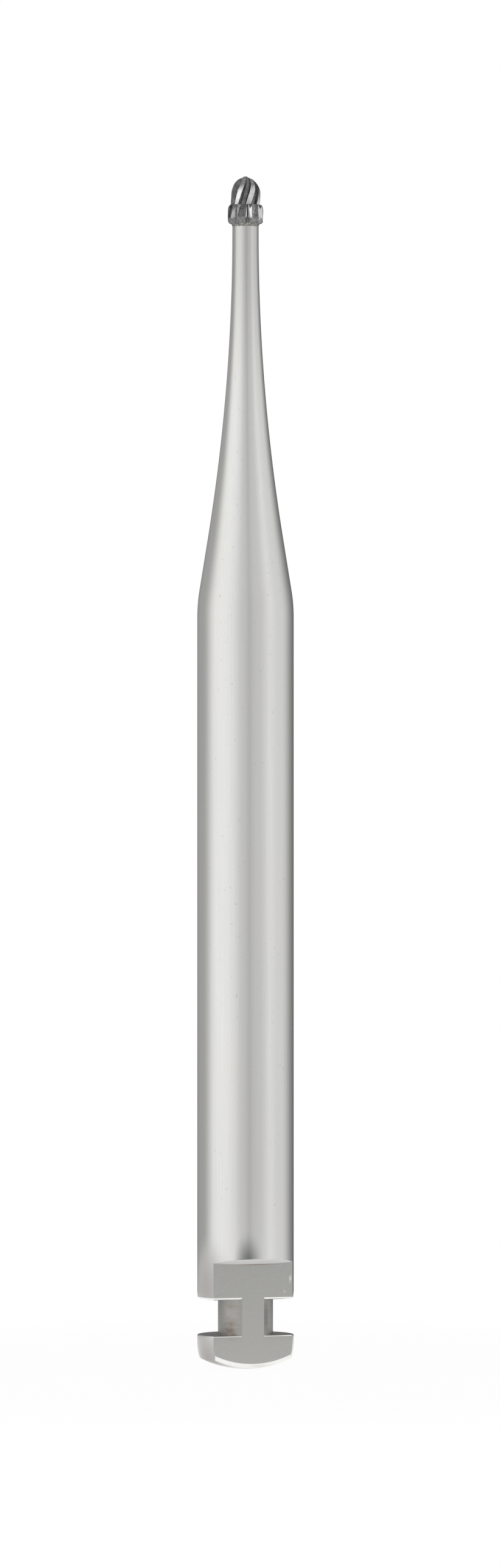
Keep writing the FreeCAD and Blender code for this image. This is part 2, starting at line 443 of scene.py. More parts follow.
@dataclass(frozen=True)
class CarbideFinish:
    """Ground tungsten carbide: a hard grain, darker towards the tip and at the crown's foot.

    Attributes:
        face: How the face was made.
        dark: Tone of the grain's dark parts.
        light: Tone of its light parts.
        roughness: Roughness of the grain.
        glints: How bright the grains that glint are, from 0 to 1.
        relief: Millimetres between the grain's lowest and highest.
        grains: Grains for each millimetre.
        blotches: Blotches for each millimetre.
        blotch_share: Their share in the mottled tone, the rest being the grain's.
        glinting: Grains for each millimetre of which the strongest few glint.
        glint_tone: Tone of a glint.
        swing: How far the grain moves the roughness up and down.
        unevenness: Millimetres by which the tip's and the foot's edges wander.
        darker_from: Height above which the faces grow darker towards the tip.
        darker_to: Height at which they are fully darker.
        tip_tones: The tip's tones, dark and light, unless the faces are darker still.
        darker_below: Height below which the crown's foot grows darker.
        foot_edge: Half the height over which the darker foot fades out.
        foot_tones: The darker foot's tones, dark and light.
        foot_roughness: Roughness that the darker foot adds.
        painted_highlight_and_shade: A painted highlight down one tooth's edge, and painted shade in the gash
            beside it.
        painted_light_full_at: A patch's value, from 0 to 1, from which each one's cover is full.
        painted_light_least: Their cover where the grain is darkest.
    """

    face: CarbideFace
    dark: float
    light: float
    roughness: float
    glints: float
    relief: float
    grains: float = 36.0
    blotches: float = 9.0
    blotch_share: float = 0.35
    glinting: float = 60.0
    glint_tone: float = 0.8
    swing: float = 0.06
    unevenness: float = 0.16
    darker_from: float = 28.58
    darker_to: float = 28.82
    tip_tones: tuple[float, float] = (0.13, 0.32)
    darker_below: float = 27.97
    foot_edge: float = 0.03
    foot_tones: tuple[float, float] = (0.2, 0.5)
    foot_roughness: float = 0.3
    # A painted highlight down one tooth's edge, and painted shade in the gash beside it.
    painted_highlight_and_shade: tuple[StainOrPaintedLight, ...] = (
        StainOrPaintedLight((-0.405, -0.13, 28.12), (0.1, 0.085, 0.42), grey(0.95), 1.0),
        StainOrPaintedLight((-0.345, -0.24, 28.12), (0.1, 0.09, 0.42), grey(0.03), 0.9),
    )
    painted_light_full_at: float = 0.6
    painted_light_least: float = 0.2

    def material(self) -> bpy.types.Material:
        """Builds the material: mottled tone, glints, darker tip, painted highlight and shade on one tooth,
        darker foot.
        """
        pattern = Pattern(f"carbide_{self.face.value}")
        grain = pattern.noise((self.grains,) * 3, detail=3.0)
        blotch = pattern.noise((self.blotches,) * 3, detail=3.0, shift=4.0)
        share = blotch * self.blotch_share + grain * (1.0 - self.blotch_share)
        mottle = pattern.ramp(share, *pattern.MIDDLE)
        tone = pattern.mix(mottle, grey(self.dark), grey(self.light))
        glint = pattern.noise((self.glinting,) * 3, detail=1.0, shift=7.0)
        glint = pattern.ramp(glint, *pattern.PEAKS, 0.0, self.glints)
        tone = pattern.mix(glint, tone, grey(self.glint_tone))
        uneven = blotch * self.unevenness + (pattern.part(pattern.place, "Z") - self.unevenness / 2)
        # The faces grow darker towards the tip.
        tip_dark, tip_light = self.tip_tones
        darker_tip = pattern.mix(mottle, grey(min(self.dark, tip_dark)), grey(min(self.light, tip_light)))
        tone = pattern.mix(pattern.ramp(uneven, self.darker_from, self.darker_to), tone, darker_tip)
        # Paints the highlight and the shade on one tooth, fuller where the grain is light.
        for painted_mark in self.painted_highlight_and_shade:
            cover = pattern.ramp(pattern.patch(painted_mark.centre, painted_mark.reach), 0.0, self.painted_light_full_at)
            cover *= pattern.ramp(share, *pattern.LOW, self.painted_light_least, painted_mark.strength)
            tone = pattern.mix(cover, tone, painted_mark.colour)
        # The crown's foot grows darker and rougher towards the bottom.
        darker_foot = pattern.ramp(uneven, self.darker_below + self.foot_edge, self.darker_below - self.foot_edge)
        tone = pattern.mix(darker_foot, tone, pattern.mix(mottle, *map(grey, self.foot_tones)))
        rough = pattern.ramp(grain, *pattern.MOST, self.roughness + self.swing, self.roughness - self.swing)
        rough += darker_foot * self.foot_roughness
        return pattern.surface({"Base Color": tone, "Roughness": rough}, grain, self.relief)


@dataclass(frozen=True)
class BrazeFinish:
    """Silver braze: a pale, slightly yellow metal that froze in small ripples.

    Attributes:
        colour: The bright metal.
        oxide: The dull film between the ripples.
        roughness: Roughness of the bright metal.
        dullness: Roughness that the film adds.
        ripples: Ripples for each millimetre along X, Y and Z.
        relief: Millimetres between the ripples' lowest and highest.
    """

    colour: Colour = (0.5, 0.485, 0.45, 1.0)
    oxide: Colour = (0.2, 0.19, 0.175, 1.0)
    roughness: float = 0.38
    dullness: float = 0.25
    ripples: Point = (20.0, 20.0, 40.0)
    relief: float = 0.006

    def material(self) -> bpy.types.Material:
        """Builds the material: ripples, with oxide in their hollows."""
        pattern = Pattern("silver_braze")
        ripple = pattern.noise(self.ripples, detail=4.0)
        tone = pattern.mix(pattern.ramp(ripple, *pattern.MOST), self.oxide, self.colour)
        rough = pattern.ramp(ripple, *pattern.MOST, self.roughness + self.dullness, self.roughness)
        return pattern.surface({"Base Color": tone, "Roughness": rough}, ripple, self.relief)


class Skin:
    """Gathers grids of points, in millimetres, into one closed mesh."""

    def __init__(self) -> None:
        """Starts with no faces."""
        self.mesh = bmesh.new()

    def add(self, rows: Sequence[Sequence[Point]], finish: Enum | None) -> None:
        """Adds the faces between rows of points.

        Args:
            rows: Rows with as many points each. Points that fall together are welded later.
            finish: How the faces were made, where the piece has more than one finish.
        """
        number = list(type(finish)).index(finish) if finish else 0
        grid = [[self.mesh.verts.new(spot) for spot in row] for row in rows]
        for low, high in zip(grid, grid[1:]):
            for corners in zip(low, low[1:], high[1:], high):
                self.mesh.faces.new(corners).material_index = number

    def finished(self, name: str, materials: Sequence[bpy.types.Material]) -> bpy.types.Object:
        """Welds the grids and turns them into an object in metres.

        Args:
            name: Name of the object.
            materials: Its materials, in the order of the finish indices.

        Returns:
            The object, in the scene.
        """
        bmesh.ops.remove_doubles(self.mesh, verts=self.mesh.verts[:], dist=WELD)
        bmesh.ops.dissolve_degenerate(self.mesh, edges=self.mesh.edges[:], dist=WELD)
        bmesh.ops.recalc_face_normals(self.mesh, faces=self.mesh.faces[:])
        bmesh.ops.scale(self.mesh, vec=Vector((MM, MM, MM)), verts=self.mesh.verts[:])
        made = bpy.data.meshes.new(name)
        self.mesh.to_mesh(made)
        self.mesh.free()
        for material in materials:
            made.materials.append(material)
        return placed(name, made)


def in_scene(name: str, data: bpy.types.ID) -> bpy.types.Object:
    """Puts a mesh or a camera in the scene as an object."""
    made = bpy.data.objects.new(name, data)
    bpy.context.scene.collection.objects.link(made)
    return made


def placed(name: str, mesh: bpy.types.Mesh) -> bpy.types.Object:
    """Puts a mesh, in metres, in the scene, smooth but for its sharp edges."""
    mesh.shade_smooth()
    mesh.set_sharp_from_angle(angle=SHARP_EDGE)
    return in_scene(name, mesh)


def dressed(piece: bpy.types.Object, node: str) -> None:
    """Makes a piece stand for a CAD node and reports it.

    Args:
        piece: The finished piece.
        node: The CAD node that it replaces.
    """
    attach(piece, "root")
    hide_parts(node)
    log.info("%s: %d faces, %d materials", piece.name, len(piece.data.polygons), len(piece.data.materials))


class Section:
    """Shares out points round the shank's flatted sections, in the same order in every row.

    The middle of the flat is its strip, which also crosses the groove's core. The flat's wings lie left and
    right of it, and the rest of the outline is the back.
    """

    STRIP_STEPS = 14
    WING_STEPS = 24
    BACK_STEPS = 128

    def __init__(self, radius: float, depth: float, strip: float) -> None:
        """Works out how the points are spaced.

        Args:
            radius: Full radius of the shank.
            depth: Distance from the axis to the flat.
            strip: Half the strip's width.
        """
        self.strip = strip
        strip_angle = math.asin(strip / radius)
        corner_angle = math.acos(depth / radius)
        span = math.sin(corner_angle) - math.sin(strip_angle)
        self.wing_shares = []
        for share in shares(self.WING_STEPS):
            across = math.sin(between(strip_angle, corner_angle, share))
            self.wing_shares.append((across - math.sin(strip_angle)) / span)
        self.strip_shares = []
        for share in shares(self.STRIP_STEPS):
            turn = between(-strip_angle, strip_angle, share)
            self.strip_shares.append(math.sin(turn) / math.sin(strip_angle))

    def collar(self, radius: float, depth: float, inner: float) -> list[Spot]:
        """The right wing, the back and the left wing of one section.

        Args:
            radius: Radius of the section.
            depth: Distance from the axis to its flat side.
            inner: Distance along X at which the wings begin.

        Returns:
            Places from the right wing's inner end to the left wing's.
        """
        outer = leg(radius, depth)
        right = [(between(inner, outer, share), -depth) for share in self.wing_shares]
        left = [(-across, along) for across, along in reversed(right)]
        corner = math.degrees(math.acos(depth / radius))
        back = [on_circle(radius, between(corner, 360 - corner, share)) for share in shares(self.BACK_STEPS)]
        return right[:-1] + back + left[1:]

    def middle(self, depth: float) -> list[Spot]:
        """Places across the strip, from left to right."""
        return [(self.strip * share, -depth) for share in self.strip_shares]

    def row(self, radius: float, depth: float, flat: Height, back: Height) -> list[Point]:
        """One closed row of points.

        Args:
            radius: Radius of the section.
            depth: Distance from the axis to its flat side.
            flat: Gives the height of a point of the flat side.
            back: Gives the height of a point of the back.

        Returns:
            The points, closed at the strip's right side.
        """
        points = []
        for index, spot in enumerate(self.collar(radius, depth, self.strip)):
            on_back = self.WING_STEPS <= index <= self.WING_STEPS + self.BACK_STEPS
            points.append((*spot, back(*spot) if on_back else flat(*spot)))
        return points + [(*spot, flat(*spot)) for spot in self.middle(depth)[1:]]

    def split(self, rows: Sequence[list[Point]]) -> tuple[list[list[Point]], list[list[Point]]]:
        """Parts closed rows into their backs and their flat sides, which share the corners."""
        first, last = self.WING_STEPS, self.WING_STEPS + self.BACK_STEPS
        backs = [row[first : last + 1] for row in rows]
        flats = [row[last:] + row[1 : first + 1] for row in rows]
        return backs, flats


@dataclass(frozen=True)
class Shank:
    """The turned shank, with its milled drive flat and its tumbled edges."""

    radius: float
    neck_top: float
    end_dome_radius: float = 2.45
    end_face_radius: float = 1.115
    end_edge_fillet: float = 0.1
    button_side_height: float = 0.64
    button_height: float = 0.84
    button_top_fillet: float = 0.025
    groove_width: float = 0.87
    groove_core_radius: float = 0.67
    shoulder_ease_inset: float = 0.02
    shoulder_ease_height: float = 0.22
    shoulder_fillet: float = 0.055
    flat_to_axis: float = 0.61
    flat_length: float = 2.57
    flat_runout_angle: float = 16.0
    flat_runout_radius: float = 12.0
    neck_shoulder_radius: float = 4.0
    cone_half_angle: float = 9.2
    neck_arc_radius: float = 46.5
    neck_end_half_angle: float = 0.2
    neck_end_length: float = 0.35
    neck_end_radius: float = 0.319
    neck_end_chamfer: float = 0.035
    fillet_steps: int = 8
    level_steps: int = 4
    core_steps: int = 6
    eased_steps: int = 5
    wall_steps: int = 3
    slope_steps: int = 3
    above_flat_steps: int = 2
    neck_shoulder_steps: int = 8
    cone_steps: int = 3
    neck_arc_steps: int = 24

    @property
    def groove_top(self) -> float:
        """Height of the shoulder's underside."""
        return self.button_height + self.groove_width

    @property
    def section(self) -> Section:
        """How points are shared out round the latch end."""
        return Section(self.radius, self.flat_to_axis, leg(self.groove_core_radius, self.flat_to_axis))

    def dome_rise(self, radius: float) -> float:
        """Height of the domed end at a radius."""
        return self.end_dome_radius - leg(self.end_dome_radius, radius)

    def easing(self, inset: float, rise: float) -> tuple[float, float]:
        """The arc that eases the wall inwards.

        Args:
            inset: How far the arc has left the wall at its low end.
            rise: Height of the arc.

        Returns:
            The arc centre's distance from the axis, and the arc's radius.
        """
        arc_radius = (inset**2 + rise**2) / (2 * inset)
        return self.radius - arc_radius, arc_radius

    def rim_height(self, radius: float) -> float:
        """Height of the turned end, with its rounded rim, at a radius."""
        ball = self.end_edge_fillet
        rise = self.button_side_height - self.dome_rise(self.end_face_radius)
        wall_centre, wall_radius = self.easing(self.radius - self.end_face_radius, rise)
        centre = circles_meet(
            (0.0, self.end_dome_radius), self.end_dome_radius - ball,
            (wall_centre, self.button_side_height), wall_radius - ball,
        )
        dome_touch = centre[0] * self.end_dome_radius / (self.end_dome_radius - ball)
        wall_touch = wall_centre + (centre[0] - wall_centre) * wall_radius / (wall_radius - ball)
        if radius <= dome_touch:
            return self.dome_rise(radius)
        if radius <= wall_touch:
            return centre[1] - leg(ball, radius - centre[0])
        return self.button_side_height - leg(wall_radius, radius - wall_centre)

    def flat_end_height(self, across: float, depth: float) -> float:
        """Height of the end near the flat, with the flat's rounded lower edge.

        Args:
            across: Distance from the axis along X.
            depth: Distance from the axis towards the flat.

        Returns:
            The height of the surface there.
        """
        ball = self.end_edge_fillet
        ball_depth = self.flat_to_axis - ball
        if depth <= ball_depth * self.end_dome_radius / (self.end_dome_radius - ball):
            return self.dome_rise(math.hypot(across, depth))
        reach = leg(self.end_dome_radius - ball, ball_depth) + leg(ball, depth - ball_depth)
        return self.end_dome_radius - leg(reach, across)

    def edge_inset(self, height: float) -> float:
        """How far a rounded level edge of the button or the shoulder draws the walls in at a height."""
        if height < (self.button_height + self.groove_top) / 2:
            ball, away = self.button_top_fillet, self.button_height - height
        else:
            ball, away = self.shoulder_fillet, height - self.groove_top
        return ball - leg(ball, max(ball - away, 0.0))

    def wall_radius(self, height: float) -> float:
        """Radius of the turned wall at a height of the button or the shoulder."""
        if height < self.button_side_height:
            rise = self.button_side_height - self.dome_rise(self.end_face_radius)
            centre, arc_radius = self.easing(self.radius - self.end_face_radius, rise)
            return centre + leg(arc_radius, self.button_side_height - height)
        eased_top = self.groove_top + self.shoulder_ease_height
        if height <= self.button_height or height >= eased_top:
            return self.radius - (self.edge_inset(height) if height <= self.button_height else 0.0)
        ball = self.shoulder_fillet
        ball_height = self.groove_top + ball
        centre, arc_radius = self.easing(self.shoulder_ease_inset, self.shoulder_ease_height)
        touch = eased_top - (eased_top - ball_height) * arc_radius / (arc_radius - ball)
        if height >= touch:
            return centre + leg(arc_radius, eased_top - height)
        return centre + leg(arc_radius - ball, eased_top - ball_height) + leg(ball, ball_height - height)

    def runout_height(self, across: float, depth: float) -> float:
        """Height of the flat's sloped shoulder at a place in front of the flat."""
        slope = math.radians(self.flat_runout_angle)
        bulge = self.flat_runout_radius - leg(self.flat_runout_radius, across)
        return self.flat_length + (depth - self.flat_to_axis) * math.tan(slope) + bulge / math.cos(slope)

    def rim_corner(self, depth: float) -> float:
        """Radius at which the end's rounded rim meets the flat's rounded lower edge."""
        low, high = self.end_face_radius / 2 + depth / 2, self.radius
        while high - low > WELD / 10:
            radius = (low + high) / 2
            if self.rim_height(radius) > self.flat_end_height(leg(radius, depth), depth) + WELD / 100:
                high = radius
            else:
                low = radius
        return low

    def domed_end(self, skin: Skin) -> float:
        """Adds the dome and its rounded edges.

        Args:
            skin: Takes the faces.

        Returns:
            Height at which the flat's side edges begin.
        """
        ball = self.end_edge_fillet
        ball_depth = self.flat_to_axis - ball
        last_turn = math.asin(ball_depth / (self.end_dome_radius - ball))
        rows = []
        for share in shares(self.fillet_steps):
            depth = ball_depth + ball * math.sin(between(math.pi / 2, last_turn, share))
            rows.append(self.section.row(
                self.rim_corner(depth), depth,
                lambda across, along: self.flat_end_height(across, -along),
                lambda across, along: self.rim_height(math.hypot(across, along)),
            ))
        dome = []
        for share in shares(2 * self.fillet_steps):
            row = [(across * (1 - share), along * (1 - share)) for across, along, _ in rows[-1]]
            dome.append([(*spot, self.dome_rise(math.hypot(*spot))) for spot in row])
        rim, flat_edge = self.section.split(rows)
        skin.add(rim, SteelFace.GROUND)
        skin.add(flat_edge, SteelFace.TUMBLED)
        skin.add([rows[-1]] + dome[1:], SteelFace.GROUND)
        return self.rim_height(self.rim_corner(self.flat_to_axis))

    def button(self, skin: Skin, side_foot: float) -> list[list[Point]]:
        """Adds the button's side, its flat and its rounded upper edges.

        Args:
            skin: Takes the faces.
            side_foot: Height at which the flat's side edges begin.

        Returns:
            The rows of the rounded upper edges, the last of them on the button's level top.
        """
        rows = []
        for share in shares(self.fillet_steps):
            height = between(side_foot, self.button_side_height, share)
            rows.append(self.section.row(
                self.wall_radius(height), self.flat_to_axis,
                lambda across, _: between(
                    self.flat_end_height(across, self.flat_to_axis), self.button_side_height, share
                ),
                level(height),
            ))
        edge_foot = self.button_height - self.button_top_fillet
        rows.append(self.section.row(self.radius, self.flat_to_axis, level(edge_foot), level(edge_foot)))
        backs, flats = self.section.split(rows)
        skin.add(backs, SteelFace.GROUND)
        skin.add(flats, SteelFace.MILLED)
        return self.rounded_edge(skin, edge_foot, self.button_top_fillet)

    def rounded_edge(self, skin: Skin, height: float, rise: float) -> list[list[Point]]:
        """Adds a rounded level edge of the button or the shoulder.

        Args:
            skin: Takes the faces.
            height: Height at which the edge begins, on the wall.
            rise: Distance to the level face, below zero for a face that looks down.

        Returns:
            The edge's rows, from the wall to the level face.
        """
        rows = []
        for share in shares(self.fillet_steps):
            spot_height = height + rise * math.sin(share * math.pi / 2)
            depth = self.flat_to_axis - self.edge_inset(spot_height)
            inner = leg(self.groove_core_radius, depth)
            collar = self.section.collar(self.wall_radius(spot_height), depth, inner)
            rows.append([(*spot, spot_height) for spot in collar])
        skin.add(rows, SteelFace.TUMBLED)
        return rows

    def level_face(self, skin: Skin, outer: list[Point]) -> list[Point]:
        """Adds a level face of the groove.

        Args:
            skin: Takes the faces.
            outer: The face's outer row.

        Returns:
            Its inner row, on the groove's core.
        """
        first = azimuth_of(outer[0])
        inner = []
        for share, spot in zip(shares(len(outer) - 1), outer):
            inner.append((*on_circle(self.groove_core_radius, between(first, 360 - first, share)), spot[2]))
        rows = []
        for share in shares(self.level_steps):
            rows.append([tuple(between(a, b, share) for a, b in zip(*ends)) for ends in zip(outer, inner)])
        skin.add(rows, SteelFace.TURNED)
        return inner

    def groove(self, skin: Skin, button_edge: list[list[Point]], shoulder_edge: list[list[Point]]) -> None:
        """Adds the groove's level faces, its core and the strip of the flat that crosses it.

        Args:
            skin: Takes the faces.
            button_edge: Rows of the button's rounded edge.
            shoulder_edge: Rows of the shoulder's rounded edge.
        """
        ends = []
        for edge in (button_edge, shoulder_edge):
            inner = self.level_face(skin, edge[-1])
            ends.append([row[0] for row in edge] + inner[1:-1] + [row[-1] for row in reversed(edge)])
        rows = []
        for share in shares(self.core_steps):
            row = []
            for low, high in zip(*ends):
                azimuth = between(azimuth_of(low), azimuth_of(high), share)
                row.append((*on_circle(self.groove_core_radius, azimuth), between(low[2], high[2], share)))
            rows.append(row)
        skin.add(rows, SteelFace.TURNED)
        strip = self.section.middle(self.flat_to_axis)
        heights = [between(ends[0][0][2], ends[1][0][2], share) for share in shares(self.core_steps)]
        skin.add([[(*spot, height) for spot in strip] for height in heights], SteelFace.MILLED)

    def shoulder(self, skin: Skin) -> tuple[list[list[Point]], list[Point]]:
        """Adds the wall above the groove, the flat's upper part and its sloped shoulder.

        Args:
            skin: Takes the faces.

        Returns:
            The rows of the shoulder's rounded lower edge, and a closed row above the flat.
        """
        edge_top = self.groove_top + self.shoulder_fillet
        eased_top = self.groove_top + self.shoulder_ease_height
        corner_height = self.runout_height(leg(self.radius, self.flat_to_axis), self.flat_to_axis)
        heights = [between(edge_top, eased_top, share) for share in shares(self.eased_steps)]
        heights += [between(eased_top, corner_height, share) for share in shares(self.wall_steps)[1:]]
        rows = []
        for height in heights:
            share = (height - edge_top) / (corner_height - edge_top)
            rows.append(self.section.row(
                self.wall_radius(height), self.flat_to_axis,
                lambda across, _: between(edge_top, self.runout_height(across, self.flat_to_axis), share),
                level(height),
            ))
        backs, flats = self.section.split(rows)
        skin.add(backs, SteelFace.GROUND)
        skin.add(flats, SteelFace.MILLED)
        slope = []
        for share in shares(self.slope_steps):
            row = []
            for across, _, _ in flats[-1]:
                depth = between(self.flat_to_axis, leg(self.radius, across), share)
                row.append((across, -depth, self.runout_height(across, depth)))
            slope.append(row)
        skin.add(slope, SteelFace.RUNOUT)
        top = self.flat_length + self.radius
        above = []
        for share in shares(self.above_flat_steps):
            row = [(*spot[:2], between(spot[2], top, share)) for spot in backs[-1] + slope[-1][1:]]
            above.append(row)
        skin.add(above, SteelFace.GROUND)
        return self.rounded_edge(skin, edge_top, -self.shoulder_fillet), above[-1]

    def neck_line(self) -> list[Spot]:
        """Radii and heights up the neck, from the parallel shank to the middle of its end."""
        end_slope = math.radians(self.neck_end_half_angle)
        cone_slope = math.radians(self.cone_half_angle)
        end_foot = (
            self.neck_end_radius + self.neck_end_length * math.tan(end_slope),
            self.neck_top - self.neck_end_length,
        )
        arc_centre = (
            end_foot[0] + self.neck_arc_radius * math.cos(end_slope),
            end_foot[1] + self.neck_arc_radius * math.sin(end_slope),
        )
        neck_arc = arc(arc_centre, -self.neck_arc_radius, cone_slope, end_slope, self.neck_arc_steps)
        foot_radius = self.radius - self.neck_shoulder_radius * (1 - math.cos(cone_slope))
        foot_height = neck_arc[0][1] - (foot_radius - neck_arc[0][0]) / math.tan(cone_slope)
        shoulder_centre = (
            self.radius - self.neck_shoulder_radius,
            foot_height - self.neck_shoulder_radius * math.sin(cone_slope),
        )
        line = arc(shoulder_centre, self.neck_shoulder_radius, 0.0, cone_slope, self.neck_shoulder_steps)
        for share in shares(self.cone_steps)[1:-1]:
            line.append((
                between(foot_radius, neck_arc[0][0], share),
                between(foot_height, neck_arc[0][1], share),
            ))
        line += neck_arc
        line.append((self.neck_end_radius, self.neck_top - self.neck_end_chamfer))
        line.append((self.neck_end_radius - self.neck_end_chamfer, self.neck_top))
        return line + [(0.0, self.neck_top)]

    def neck(self, skin: Skin, foot: list[Point]) -> None:
        """Adds the parallel shank and the neck above a closed row."""
        azimuths = [azimuth_of(spot) for spot in foot]
        rows = [foot]
        for radius, height in self.neck_line():
            rows.append([(*on_circle(radius, azimuth), height) for azimuth in azimuths])
        skin.add(rows, SteelFace.GROUND)

    def build(self) -> bpy.types.Object:
        """Builds the whole shank as one closed mesh and dresses it."""
        skin = Skin()
        side_foot = self.domed_end(skin)
        button_edge = self.button(skin, side_foot)
        shoulder_edge, above = self.shoulder(skin)
        self.groove(skin, button_edge, shoulder_edge)
        self.neck(skin, above)
        piece = skin.finished("shank_body", steel_materials())
        dressed(piece, "shank")
        return piece


def steel_materials() -> list[bpy.types.Material]:
    """The shank's materials, in the order of SteelFace."""
    # Painted shade: matte patches that darken the left side of the shank and of the button.
    matte_shade_tone = (0.54, 0.52, 0.495, 1.0)
    left_side_painted_shade = StainOrPaintedLight((-1.1, -0.4, 2.0), (0.9, 0.9, 1.4), matte_shade_tone, 0.95, 0.4, ragged=False, scatter=0.8)
    button_left_painted_shade = StainOrPaintedLight((-1.1, -0.4, 0.3), (0.9, 0.9, 0.9), matte_shade_tone, 0.95, 0.4, ragged=False, scatter=0.8)
    shade = StainOrPaintedLight((-0.3, -1.14, 2.62), (0.42, 0.3, 0.85), (0.18, 0.2, 0.19, 1.0), 0.9, 0.0, ragged=False)
    line = StainOrPaintedLight((0.1, -0.61, 2.57), (0.75, 0.1, 0.03), (0.33, 0.22, 0.15, 1.0), 0.7, 0.1, ragged=False)
    groove_shade = StainOrPaintedLight((0.34, -0.58, 1.28), (0.15, 0.2, 0.75), grey(0.16), 0.65, 0.0, ragged=False)
    rust = StainOrPaintedLight((-0.52, -0.4, 0.98), (0.32, 0.35, 0.42), (0.25, 0.18, 0.135, 1.0), 0.65, 0.12)
    faint_rust = StainOrPaintedLight((-0.5, -0.42, 1.55), (0.4, 0.3, 0.1), (0.33, 0.28, 0.23, 1.0), 0.45, 0.1)
    rim_rust = StainOrPaintedLight((0.25, -0.6, 0.1), (0.55, 0.2, 0.07), (0.55, 0.42, 0.33, 1.0), 0.4, 0.1)
    nick = StainOrPaintedLight((0.95, -0.61, 2.2), (0.05, 0.05, 0.14), grey(1.0), 0.8, -0.1)
    low_nick = StainOrPaintedLight((0.8, -0.61, 1.9), (0.04, 0.05, 0.04), grey(1.0), 0.8, -0.1)
    painted_shade_on_wall = (left_side_painted_shade, button_left_painted_shade, shade)
    on_cuts = (groove_shade, line, rust, faint_rust, rim_rust, nick, low_nick)
    clean, cut, milled = (0.8, 0.8, 0.79, 1.0), (0.41, 0.405, 0.39, 1.0), (0.5, 0.5, 0.485, 1.0)
    finishes = [
        SteelFinish(SteelFace.GROUND, clean, 0.28, (26.0, 26.0, 0.3), 0.0002, 0.035, painted_shade_on_wall + on_cuts),
        SteelFinish(SteelFace.TURNED, cut, 0.38, (1.2, 1.2, 30.0), 0.0006, 0.16, on_cuts),
        SteelFinish(SteelFace.MILLED, milled, 0.42, (14.0, 14.0, 30.0), 0.0003, 0.07, on_cuts[1:]),
        SteelFinish(SteelFace.TUMBLED, grey(0.95), 0.22, (7.0, 7.0, 7.0), 0.0003, 0.04, (line, rim_rust)),
        SteelFinish(SteelFace.RUNOUT, grey(0.97), 0.8, (20.0, 5.0, 5.0), 0.0003, 0.03, (line,)),
    ]
    return [finish.material() for finish in finishes]


@dataclass(frozen=True)
class HeadSizes:
    """Sizes of the cutting head, each a named input of its rule. Heights are measured from its base."""

    base_height: float
    tooth_count: int = 7
    base_radius: float = 0.35
    crown_height: float = 0.465
    crown_radius: float = 0.435
    crown_foot_height: float = 0.09
    crown_belly_height: float = 0.29
    crown_top_radius: float = 0.37
    gash_root_radius: float = 0.345
    gash_root_half_width: float = 0.015
    gash_half_angle: float = 43.0
    gash_lag_angle: float = 12.0
    gash_depth: float = 0.16
    panel_top_angle: float = 38.0
    panel_foot_angle: float = 28.0
    panel_top_lead_angle: float = 15.0
    panel_foot_lead_angle: float = 24.0
    panel_top_radius: float = 0.36
    panel_foot_radius: float = 0.45
    dome_radius: float = 0.365
    dome_straight_height: float = 0.72
    tip_cap_radius: float = 0.105
    tip_cap_height: float = 1.12
    tip_nub_radius: float = 0.075
    tip_height: float = 1.16
    helix_twist: float = 54.0
    first_edge_azimuth: float = -47.5
    land_angle: float = 20.0
    land_heel_ratio: float = 0.95
    rake_face_angle: float = 9.0
    heel_face_angle: float = 4.5
    gullet_ratio: float = 0.79


